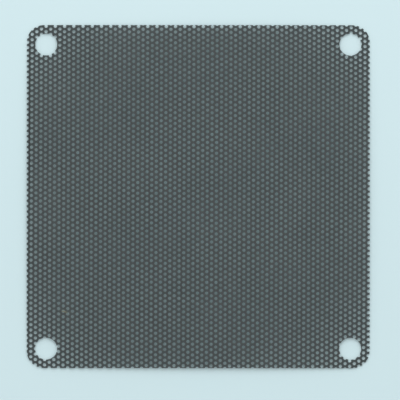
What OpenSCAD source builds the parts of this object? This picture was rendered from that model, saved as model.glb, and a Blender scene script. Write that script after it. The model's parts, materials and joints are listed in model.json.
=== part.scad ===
// Fan dust filter: a square of punched plastic film that is screwed over a fan's intake.
// Origin at the centre of the face that lies against the fan, +Z away from the fan.

/* [Sheet] */
// Length of each edge of the sheet
side = 80.6; // [78:0.1:86]
// Radius of the sheet's corners
corner_r = 4.0; // [1:0.1:8]
// Thickness of the film
thickness = 0.3; // [0.2:0.05:1]

/* [Screw holes] */
// Distance between the fan's screws, along each edge
screw_spacing = 71.5; // [60:0.1:74]
// Diameter of a screw hole
screw_hole_d = 5.2; // [3:0.1:7]

/* [Punching] */
// Diameter of a punch hole
punch_d = 0.8; // [0.5:0.01:0.95]
// Distance between the holes of a column
punch_pitch = 1.264; // [1.2:0.001:2.5]
// Distance between columns, each shifted half a pitch from the next
column_step = 1.087; // [1.05:0.001:2.2]
// Turn of the columns from the sheet's edge, since the film is punched before it is cut
punch_turn = -0.23; // [-2:0.01:2]
// Place of the middle punch hole across the sheet, from its centre
punch_x = -0.085; // [-0.5:0.005:0.5]
// Place of the middle punch hole up the sheet, from its centre
punch_y = 0.095; // [-0.6:0.005:0.6]

/* [Film bands] */
// Columns of holes in one band of film
band_columns = 5; // [3:2:9]
// Rise of every second band, a hair that keeps the face of each band to itself
band_rise = 0.01; // [0.005:0.001:0.02]
// Overlap of neighbouring bands, where they are joined
band_lap = 0.05; // [0.02:0.01:0.1]

/* [Hidden] */
$fn = 48;
// How far the sheet reaches from its centre, seen along the turned columns
reach = side / 2 * (cos(punch_turn) + abs(sin(punch_turn)));
band_w = band_columns * column_step;
last_band = ceil((reach + abs(punch_x)) / band_w - 0.5);
last_row = ceil((reach + abs(punch_y) + punch_d / 2) / punch_pitch);

// Four copies, at the corners of a square of that size
module corners(size) {
  for (x = [-1, 1], y = [-1, 1])
    translate([x, y] * size / 2) children();
}

// Square with round corners
module outline() {
  straight = side - 2 * corner_r;
  square([side, straight], center = true);
  square([straight, side], center = true);
  corners(straight) circle(corner_r);
}

// Punch holes of one band, staggered from one column to the next
module punch_holes(first_column) {
  for (column = [first_column : first_column + band_columns - 1], row = [-last_row : last_row]) {
    stagger = column % 2 == 0 ? 0 : 0.5;
    translate([column * column_step, (row + stagger) * punch_pitch]) circle(d = punch_d);
  }
}

// One band of the film, cut to the outline
module band(index) {
  first_column = index * band_columns - (band_columns - 1) / 2;
  difference() {
    intersection() {
      outline();
      rotate(punch_turn) translate([punch_x + index * band_w, 0])
        square([band_w + band_lap, 2 * side], center = true);
    }
    corners(screw_spacing) circle(d = screw_hole_d);
    rotate(punch_turn) translate([punch_x, punch_y]) punch_holes(first_column);
  }
}

module filter_sheet() {
  color("dimgray")
    for (index = [-last_band : last_band])
      translate([0, 0, index % 2 == 0 ? 0 : band_rise])
        linear_extrude(thickness) band(index);
}

filter_sheet();
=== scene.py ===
# Fan dust filter: a sheet of punched grey film, lying on a pale table under soft light
import json
import math

import bmesh
import bpy
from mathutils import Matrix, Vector


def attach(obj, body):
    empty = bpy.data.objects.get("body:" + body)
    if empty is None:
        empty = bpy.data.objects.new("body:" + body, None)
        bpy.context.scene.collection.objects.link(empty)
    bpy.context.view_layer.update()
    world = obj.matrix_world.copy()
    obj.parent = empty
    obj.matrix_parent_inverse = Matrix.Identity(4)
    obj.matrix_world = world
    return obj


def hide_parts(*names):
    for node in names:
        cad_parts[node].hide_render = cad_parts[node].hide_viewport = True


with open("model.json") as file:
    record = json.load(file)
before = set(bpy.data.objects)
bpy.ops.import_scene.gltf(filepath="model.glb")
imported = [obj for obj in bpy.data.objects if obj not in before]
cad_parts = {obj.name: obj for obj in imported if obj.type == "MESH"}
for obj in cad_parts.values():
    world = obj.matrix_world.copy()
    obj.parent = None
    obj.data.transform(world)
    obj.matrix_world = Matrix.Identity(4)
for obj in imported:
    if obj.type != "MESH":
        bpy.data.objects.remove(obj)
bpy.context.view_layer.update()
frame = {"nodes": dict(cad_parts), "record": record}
mounts = {mount["name"]: mount for mount in frame["record"]["mounts"]}
millimetre = 0.001
print("frame loaded, nodes:", sorted(frame["nodes"]))


# Node wiring, shared by the film's tree, the materials and the sky
class Wire:  # one output socket, which can stand in a sum
    def __init__(self, board, socket):
        self.board = board
        self.socket = socket

    def maths(self, operation, *values):
        return self.board.add("ShaderNodeMath", {"operation": operation}, dict(enumerate(values)))

    def __add__(self, other):
        return self.maths("ADD", self, other)

    def __sub__(self, other):
        return self.maths("SUBTRACT", self, other)

    def __rsub__(self, other):
        return self.maths("SUBTRACT", other, self)

    def __mul__(self, other):
        return self.maths("MULTIPLY", self, other)

    def __truediv__(self, other):
        return self.maths("DIVIDE", self, other)

    def __floordiv__(self, other):
        return self.maths("FLOOR", self / other)

    def __mod__(self, other):
        return self.maths("FLOORED_MODULO", self, other)

    def __lt__(self, other):
        return self.maths("LESS_THAN", self, other)

    def __gt__(self, other):
        return self.maths("GREATER_THAN", self, other)

    __radd__ = __add__
    __rmul__ = __mul__

    def roundedUp(self):
        return self.maths("CEIL", self)

    def rise(self, low, high):  # 0 below low, 1 above high, smooth between
        smooth = {"interpolation_type": "SMOOTHSTEP"}
        span = {"Value": self, "From Min": low, "From Max": high}
        return self.board.add("ShaderNodeMapRange", smooth, span)

    def other(self, name):  # another output of the same node
        return Wire(self.board, self.socket.node.outputs[name])


class Board:  # a node tree, with one way to add a node to it
    def __init__(self, tree):
        self.tree = tree

    def add(self, kind, settings=None, sockets=None, out=0):
        node = self.tree.nodes.new(kind)
        for name, value in (settings or {}).items():
            setattr(node, name, value)
        for name, value in (sockets or {}).items():
            socket = self.find(node.inputs, name)
            for item in value if isinstance(value, list) else [value]:
                if isinstance(item, Wire):
                    self.tree.links.new(item.socket, socket)
                else:
                    socket.default_value = item
        return Wire(self, self.find(node.outputs, out)) if node.outputs else node

    def find(self, sockets, key):  # by identifier, or else by name or number
        matches = (socket for socket in sockets if socket.identifier == key)
        return next(matches, None) or sockets[key]

    def part(self, axis, vector):
        return self.add("ShaderNodeSeparateXYZ", {}, {"Vector": vector}, out=axis)

    def noise(self, place, scale, detail=2.0):
        grains = {"Vector": place, "Scale": scale, "Detail": detail}
        return self.add("ShaderNodeTexNoise", {}, grains)

    def streaks(self, place, scale):  # noise with a scale of its own along each axis
        stretched = self.add("ShaderNodeMapping", {}, {"Vector": place, "Scale": scale})
        return self.noise(stretched, 1.0)

    def copies(self, shape, points):  # one real copy of a mesh at each point
        each = self.add("GeometryNodeInstanceOnPoints", {}, {"Points": points, "Instance": shape})
        return self.add("GeometryNodeRealizeInstances", {}, {"Geometry": each})

    def blend(self, share, first, second):  # colours
        colors = {"Factor_Float": share, "A_Color": first, "B_Color": second}
        return self.add("ShaderNodeMix", {"data_type": "RGBA"}, colors, out="Result_Color")


noiseMiddle = 0.5  # what noise comes to on average


def emptyBoard(owner):  # of a material or a world
    owner.use_nodes = True
    owner.node_tree.nodes.clear()
    return Board(owner.node_tree)


def newMaterial(name):
    material = bpy.data.materials.new(name)
    return material, emptyBoard(material)


def closeMaterial(board, finish):
    surface = board.add("ShaderNodeBsdfPrincipled", {}, finish)
    board.add("ShaderNodeOutputMaterial", {}, {"Surface": surface})


def newObject(name, data):  # linked to the scene, at the origin
    made = bpy.data.objects.new(name, data)
    bpy.context.scene.collection.objects.link(made)
    return made


def meshOf(maker):  # a plain mesh of what an object's modifiers or curve make
    graph = bpy.context.evaluated_depsgraph_get()
    return bpy.data.meshes.new_from_object(maker.evaluated_get(graph), depsgraph=graph)


# Punched film
filmLook = {
    "baseColor": (0.0468, 0.0582, 0.0603, 1.0),
    "palerColor": (0.0553, 0.0672, 0.0693, 1.0),
    "toneRange": (0.3, 0.7),  # from the base colour to the paler one
    "toneShares": (0.6, 0.25, 0.15),  # of mottle, lines and grain
    "mottleScale": 70.0,  # patches of about 14 mm
    "mottleDetail": 3.0,
    "lineScale": (5200.0, 90.0, 90.0),  # fine rolling lines along the film's run
    "lineHeight": 0.5,  # against the grain's
    "grainScale": 9000.0,
    "grainDepth": 0.00001,
    "reliefStrength": 0.35,
    "roughness": 0.55,
    "roughnessSwing": 0.2,
    "gloss": 0.25,
    "dustColor": (0.20, 0.21, 0.20, 1.0),
    "dustCover": 0.5,
    "dustScale": 1500.0,
    "dustSpeck": (0.05, 0.16),  # where a speck starts to fade, and its edge
    "dustPatch": (0.5, 0.75),  # mottle at which the specks appear, and are full
}


def makeFilmMaterial(look):
    material, board = newMaterial("satin_grey_film")
    place = board.add("ShaderNodeTexCoord", out="Object")
    mottle = board.noise(place, look["mottleScale"], look["mottleDetail"])
    lines = board.streaks(place, look["lineScale"])
    grain = board.noise(place, look["grainScale"])
    speck = {"Vector": place, "Scale": look["dustScale"]}
    fromSpeck = board.add("ShaderNodeTexVoronoi", {"feature": "F1"}, speck, out="Distance")
    mottleShare, lineShare, grainShare = look["toneShares"]
    tone = mottle * mottleShare + lines * lineShare + grain * grainShare
    dust = (1 - fromSpeck.rise(*look["dustSpeck"])) * mottle.rise(*look["dustPatch"])
    clean = board.blend(tone.rise(*look["toneRange"]), look["baseColor"], look["palerColor"])
    swing = look["roughnessSwing"]
    relief = {
        "Strength": look["reliefStrength"],
        "Distance": look["grainDepth"],
        "Height": grain + lines * look["lineHeight"],
    }
    satin = {
        "Base Color": board.blend(dust * look["dustCover"], clean, look["dustColor"]),
        "Roughness": look["roughness"] + (tone - noiseMiddle) * swing + dust * swing,
        "Specular IOR Level": look["gloss"],
        "Normal": board.add("ShaderNodeBump", {}, relief),
    }
    closeMaterial(board, satin)
    return material


# Cut edges of the film, paler and duller where the punch tore through
cutLook = {
    "baseColor": (0.110, 0.108, 0.100, 1.0),
    "palerColor": (0.200, 0.185, 0.165, 1.0),
    "tearRange": (0.3, 0.7),  # from the base colour to the paler one
    "tearScale": (9000.0, 9000.0, 1500.0),  # marks that run down the wall
    "tearDepth": 0.00002,
    "reliefStrength": 0.3,
    "roughness": 0.75,
    "roughnessSwing": 0.2,
    "gloss": 0.2,
}


def makeCutMaterial(look):
    material, board = newMaterial("pale_cut_edge")
    place = board.add("ShaderNodeTexCoord", out="Object")
    tears = board.streaks(place, look["tearScale"])
    relief = {"Strength": look["reliefStrength"], "Distance": look["tearDepth"], "Height": tears}
    torn = {
        "Base Color": board.blend(tears.rise(*look["tearRange"]), look["baseColor"], look["palerColor"]),
        "Roughness": look["roughness"] + (tears - noiseMiddle) * look["roughnessSwing"],
        "Specular IOR Level": look["gloss"],
        "Normal": board.add("ShaderNodeBump", {}, relief),
    }
    closeMaterial(board, torn)
    return material


sheetSize = frame["nodes"]["filter_sheet"].dimensions
filmSheet = {  # millimetres, and radians for the turn
    "Width": sheetSize.x / millimetre,
    "Height": sheetSize.y / millimetre,
    "Corner Radius": 4.0,
    "Thickness": mounts["outer_side"]["pos_m"][2] / millimetre,
    "Bow": 0.77,  # rise of the middle above the tips of the corners
    "Bow Fullness": 0.5,  # the higher, the more of that rise lies near the edges
    "Screw Spacing": mounts["screw_holes"]["dims"]["spacing_x_mm"],
    "Screw Hole Radius": mounts["screw_holes"]["dims"]["hole_r_mm"],
    "Punch Diameter": 0.8,
    "Punch Pitch": 1.264,
    "Column Step": 1.087,
    "Punch Turn": math.radians(-0.23),
    "Punch X": -0.085,
    "Punch Y": 0.095,
}
halfSize = Vector((filmSheet["Width"], filmSheet["Height"])) / 2
arcCentre = halfSize - Vector((filmSheet["Corner Radius"], filmSheet["Corner Radius"]))
filmSheet["Reach"] = arcCentre.length + filmSheet["Corner Radius"]  # from the middle to a corner's tip

filmCutting = {
    "cornerSteps": 14,  # straight sides that stand for an arc, and so the next two
    "screwHoleSides": 64,
    "punchHoleSides": 9,
    "rodLength": 4,  # in thicknesses of the film
    "weldDistance": 0.0001,
    "creaseAngle": math.radians(60),
    "wallTilt": 0.5,  # a face that looks up or down less than this is a wall
}


def bowRise(x, y, reach, fullness, bow):  # of numbers, or of wires in the film's tree
    outward = (x * x + y * y) / (reach * reach)  # 1 at the tips of the corners
    return (1 - outward) * (1 + outward * fullness) * bow


def addBlank(board, size, cutting):  # the outline with its round corners, filled and raised
    square = {"Width": size.other("Width"), "Height": size.other("Height")}
    outline = board.add("GeometryNodeCurvePrimitiveQuadrilateral", {}, square)
    corner = {"Curve": outline, "Radius": size.other("Corner Radius"), "Count": cutting["cornerSteps"]}
    rounded = board.add("GeometryNodeFilletCurve", {"mode": "POLY"}, corner)
    flat = board.add("GeometryNodeFillCurve", {"mode": "NGONS"}, {"Curve": rounded})
    upward = {"Mesh": flat, "Offset Scale": size.other("Thickness"), "Individual": False}
    raised = board.add("GeometryNodeExtrudeMesh", {}, upward)
    underside = board.add("GeometryNodeFlipFaces", {}, {"Mesh": flat})
    shell = board.add("GeometryNodeJoinGeometry", {}, {"Geometry": [underside, raised]})
    weld = {"Geometry": shell, "Distance": cutting["weldDistance"]}
    return board.add("GeometryNodeMergeByDistance", {}, weld)


def addRods(board, size, cutting, sides, radius, points):  # one at each point, to cut a hole
    length = size.other("Thickness") * cutting["rodLength"]
    rod = {"Vertices": sides, "Radius": radius, "Depth": length}
    return board.copies(board.add("GeometryNodeMeshCylinder", {}, rod), points)


def addPunches(board, size, cutting):  # in columns, each half a pitch from the next
    pitch, step = size.other("Punch Pitch"), size.other("Column Step")
    lastColumn = (size.other("Width") / step / 2).roundedUp()
    lastRow = (size.other("Height") / pitch / 2).roundedUp()
    columns = lastColumn * 2 + 1
    rows = lastRow * 2 + 1
    index = board.add("GeometryNodeInputIndex")
    column = index // rows - lastColumn
    row = index % rows - lastRow + column % 2 * 0.5
    place = {"X": column * step + size.other("Punch X"), "Y": row * pitch + size.other("Punch Y")}
    straight = board.add("ShaderNodeCombineXYZ", {}, place)
    turn = {"Vector": straight, "Angle": size.other("Punch Turn")}
    turned = board.add("ShaderNodeVectorRotate", {"rotation_type": "Z_AXIS"}, turn)
    points = board.add("GeometryNodePoints", {}, {"Count": columns * rows, "Position": turned})
    sides = cutting["punchHoleSides"]
    widening = math.sqrt(math.pi / (sides / 2 * math.sin(math.tau / sides)))  # as open as a round hole
    radius = size.other("Punch Diameter") * 0.5 * widening
    return addRods(board, size, cutting, sides, radius, points)


def addDrills(board, size, cutting):  # at the four corners
    spacing = size.other("Screw Spacing")
    square = {"Size X": spacing, "Size Y": spacing, "Vertices X": 2, "Vertices Y": 2}
    points = board.add("GeometryNodeMeshGrid", {}, square)
    radius = size.other("Screw Hole Radius")
    return addRods(board, size, cutting, cutting["screwHoleSides"], radius, points)


def makeFilmTree(sizes, cutting, faceMaterial, cutMaterial):
    tree = bpy.data.node_groups.new("punchedFilm", "GeometryNodeTree")
    for name in sizes:
        tree.interface.new_socket(name=name, in_out="INPUT", socket_type="NodeSocketFloat")
    tree.interface.new_socket(name="Mesh", in_out="OUTPUT", socket_type="NodeSocketGeometry")
    board = Board(tree)
    size = board.add("NodeGroupInput")

    # punched first, then drilled, with crisp rims
    film = addBlank(board, size, cutting)
    subtract = {"operation": "DIFFERENCE", "solver": "MANIFOLD"}
    for rods in (addPunches(board, size, cutting), addDrills(board, size, cutting)):
        film = board.add("GeometryNodeMeshBoolean", subtract, {"Mesh 1": film, "Mesh 2": rods})
    smooth = {"Geometry": film, "Shade Smooth": True}
    smoothed = board.add("GeometryNodeSetShadeSmooth", {"domain": "FACE"}, smooth)
    sharp = board.add("GeometryNodeInputMeshEdgeAngle") > cutting["creaseAngle"]
    crease = {"Geometry": smoothed, "Selection": sharp, "Shade Smooth": False}
    creased = board.add("GeometryNodeSetShadeSmooth", {"domain": "EDGE"}, crease)

    # a slight bow: the film never lies quite flat, and rests on its corners
    across = board.part("X", board.add("GeometryNodeInputPosition"))
    along = across.other("Y")
    rise = bowRise(across, along, size.other("Reach"), size.other("Bow Fullness"), size.other("Bow"))
    lift = board.add("ShaderNodeCombineXYZ", {}, {"Z": rise})
    bowed = board.add("GeometryNodeSetPosition", {}, {"Geometry": creased, "Offset": lift})
    metres = board.add("GeometryNodeTransform", {}, {"Geometry": bowed, "Scale": (millimetre,) * 3})

    # both faces in one finish, and the walls of every cut in another
    whole = board.add("GeometryNodeRealizeInstances", {}, {"Geometry": metres})
    faced = board.add("GeometryNodeSetMaterial", {}, {"Geometry": whole, "Material": faceMaterial})
    facing = board.part("Z", board.add("GeometryNodeInputNormal"))
    isWall = facing * facing < cutting["wallTilt"] ** 2
    wall = {"Geometry": faced, "Selection": isWall, "Material": cutMaterial}
    board.add("NodeGroupOutput", {}, {"Mesh": board.add("GeometryNodeSetMaterial", {}, wall)})
    return tree


def runTree(name, tree, values):  # runs a tree once and keeps its mesh
    maker = newObject(name + "_maker", bpy.data.meshes.new(name + "_maker"))
    modifier = maker.modifiers.new("maker", "NODES")
    modifier.node_group = tree
    for item in tree.interface.items_tree:
        if item.in_out == "INPUT":
            modifier[item.identifier] = values[item.name]
    mesh = meshOf(maker)
    mesh.name = name
    maker.modifiers.remove(modifier)
    bpy.data.objects.remove(maker)
    return newObject(name, mesh)


filmTree = makeFilmTree(filmSheet, filmCutting, makeFilmMaterial(filmLook), makeCutMaterial(cutLook))
film = runTree("punched_film", filmTree, filmSheet)
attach(film, "root")
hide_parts("filter_sheet")
film.data.calc_loop_triangles()
print("film punched:", len(film.data.loop_triangles), "triangles")


# Fibre of lint that lies on the film
lint = {
    "path": [  # millimetres from the middle of the sheet
        (-32.02, -26.88),
        (-31.76, -26.94),
        (-31.46, -27.00),
        (-31.10, -27.10),
        (-30.70, -27.34),
    ],
    "thickness": 0.15,
    "thinEnds": 0.5,  # of the thickness
    "paleColor": (0.52, 0.50, 0.32, 1.0),
    "dullColor": (0.34, 0.33, 0.23, 1.0),
    "grainScale": 6000.0,
    "grainRange": (0.35, 0.65),  # from the dull colour to the pale one
    "roughness": 0.75,
    "roughnessSwing": 0.2,
    "gloss": 0.2,
}


def filmTop(x, y):  # height of the film's upper face, in millimetres
    rise = bowRise(x, y, filmSheet["Reach"], filmSheet["Bow Fullness"], filmSheet["Bow"])
    return filmSheet["Thickness"] + rise


def makeLintMaterial(look):
    material, board = newMaterial("straw_lint")
    place = board.add("ShaderNodeTexCoord", out="Object")
    grain = board.noise(place, look["grainScale"])
    fluff = {
        "Base Color": board.blend(grain.rise(*look["grainRange"]), look["dullColor"], look["paleColor"]),
        "Roughness": grain * look["roughnessSwing"] + look["roughness"],
        "Specular IOR Level": look["gloss"],
    }
    closeMaterial(board, fluff)
    return material


def makeLint(settings):
    thread = bpy.data.curves.new("lint_thread", "CURVE")
    thread.dimensions = "3D"
    thread.bevel_depth = settings["thickness"] / 2 * millimetre
    thread.bevel_resolution = 2
    thread.use_fill_caps = True
    line = thread.splines.new("NURBS")
    last = len(settings["path"]) - 1
    line.points.add(last)
    line.use_endpoint_u = True
    line.order_u = 3
    for number, (x, y) in enumerate(settings["path"]):
        height = filmTop(x, y) + settings["thickness"] / 2
        line.points[number].co = (x * millimetre, y * millimetre, height * millimetre, 1.0)
        line.points[number].radius = settings["thinEnds"] if number in (0, last) else 1.0
    maker = newObject("lint_thread", thread)
    mesh = meshOf(maker)
    bpy.data.objects.remove(maker)
    mesh.materials.clear()
    mesh.materials.append(makeLintMaterial(settings))
    return newObject("lint_fibre", mesh)


lintFibre = makeLint(lint)
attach(lintFibre, "root")
print("lint laid:", len(lintFibre.data.polygons), "faces")


# Pale table under the film
table = {
    "reach": 1.5,  # metres from the middle to an edge
    "depth": 0.03,
    "color": (0.640, 0.807, 0.844, 1.0),
    "shade": (0.630, 0.797, 0.834, 1.0),
    "cloudScale": 12.0,
    "roughness": 0.7,
    "gloss": 0.2,
}


def makeTable(settings):
    material, board = newMaterial("pale_table")
    place = board.add("ShaderNodeTexCoord", out="Object")
    cloud = board.noise(place, settings["cloudScale"])
    plastic = {
        "Base Color": board.blend(cloud, settings["color"], settings["shade"]),
        "Roughness": settings["roughness"],
        "Specular IOR Level": settings["gloss"],
    }
    closeMaterial(board, plastic)
    slab = bmesh.new()
    bmesh.ops.create_cube(slab, size=1.0)
    size = Vector((settings["reach"] * 2, settings["reach"] * 2, settings["depth"]))
    for corner in slab.verts:
        corner.co = corner.co * size - Vector((0, 0, settings["depth"] / 2))
    mesh = bpy.data.meshes.new("table")
    slab.to_mesh(mesh)
    slab.free()
    mesh.materials.append(material)
    return newObject("table", mesh)


makeTable(table)
print("table laid")


# Soft light from all sides, stronger from the top of the picture
light = {
    "skyColor": (1.0, 1.0, 1.0, 1.0),
    "sky": 0.86,
    "skyLean": 0.5,  # how much brighter the sky is towards the top, and darker towards the bottom
    "skyDim": 0.1,  # how much darker it is straight above, where the camera is
    "lampPower": 0.5,
    "lampWidth": 0.35,
    "lampAt": (0.0, 0.3, 0.28),
    "backdrop": (0.68, 0.79, 0.81, 1.0),  # near the table's own colour
}


def makeSky(settings):
    world = bpy.data.worlds.new("studio")
    board = emptyBoard(world)
    back = board.part("Y", board.add("ShaderNodeTexCoord", out="Generated"))
    height = back.other("Z")
    overhead = 1 - height * height * height * settings["skyDim"]
    strength = (back * settings["skyLean"] + settings["sky"]) * overhead
    glow = {"Color": settings["skyColor"], "Strength": strength}
    sky = board.add("ShaderNodeBackground", {}, glow)
    plain = {"Color": settings["backdrop"], "Strength": 1.0}
    backdrop = board.add("ShaderNodeBackground", {}, plain)
    rays = board.add("ShaderNodeLightPath", out="Is Camera Ray")
    seen = rays + rays.other("Is Glossy Ray") + rays.other("Is Transmission Ray")
    whole = board.add("ShaderNodeMixShader", {}, {0: seen, 1: sky, 2: backdrop})
    board.add("ShaderNodeOutputWorld", {}, {"Surface": whole})
    bpy.context.scene.world = world


def makeLamp(settings):
    lamp = bpy.data.lights.new("soft_box", "AREA")
    lamp.energy = settings["lampPower"]
    lamp.size = settings["lampWidth"]
    softBox = newObject("soft_box", lamp)
    softBox.visible_camera = False
    softBox.location = settings["lampAt"]
    softBox.rotation_euler = (-Vector(settings["lampAt"])).to_track_quat("-Z", "Y").to_euler()


makeSky(light)
makeLamp(light)
print("light set")


# Camera straight above, with a long lens
view = {
    "lens": 200.0,  # millimetres, as the sensor is
    "sensor": 36.0,
    "width": 0.09398,  # metres across the picture
    "centre": (0.000416, -0.000797),
    "roll": 0.037,  # degrees
    "clipEnd": 10.0,
}


def makeCamera(settings, height):
    data = bpy.data.cameras.new("camera")
    data.lens = settings["lens"]
    data.sensor_width = settings["sensor"]
    data.clip_end = settings["clipEnd"]
    camera = newObject("camera", data)
    distance = settings["width"] * settings["lens"] / settings["sensor"]
    camera.location = (*settings["centre"], height + distance)
    camera.rotation_euler = (0.0, 0.0, math.radians(settings["roll"]))
    bpy.context.scene.camera = camera


middleHeight = filmSheet["Thickness"] + filmSheet["Bow"] / 2  # half way up the bow
makeCamera(view, middleHeight * millimetre)
bpy.context.scene.view_settings.view_transform = "Standard"
print("camera set")
